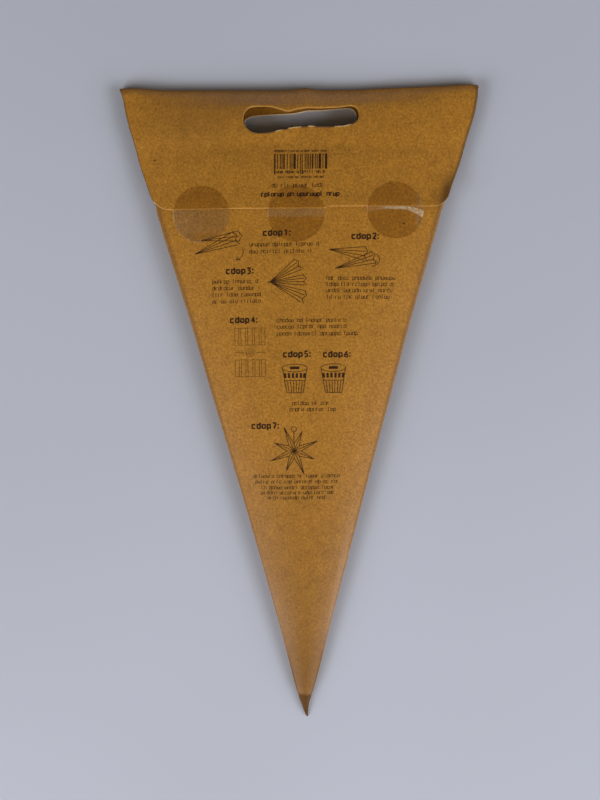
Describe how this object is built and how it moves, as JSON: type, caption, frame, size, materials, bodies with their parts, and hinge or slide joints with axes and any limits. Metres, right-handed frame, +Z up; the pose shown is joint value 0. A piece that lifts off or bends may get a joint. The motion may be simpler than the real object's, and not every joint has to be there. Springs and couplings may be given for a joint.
{
  "type": "triangular kraft paper pack",
  "caption": "Flat triangular kraft paper pack for a folded paper star, with a flap over the fold, a slot for hanging and round clear film seals",
  "frame": {"origin": "on the table under the middle of the pack, which lies on its front panel with the back panel up", "axes": "+X to the right, +Y towards the fold at the wide end, +Z up out of the back panel"},
  "size_m": [0.2048, 0.36, 0.0119],
  "materials": {
    "kraft": "brown kraft paper with a slight sheen and small dark printed marks",
    "film": "clear glossy film, stuck down, with milky places where it holds air"
  },
  "bodies": {
    "root": {"pack": "kraft", "seal_left": "film", "seal_middle": "film", "seal_right": "film"}
  },
  "joints": []
}
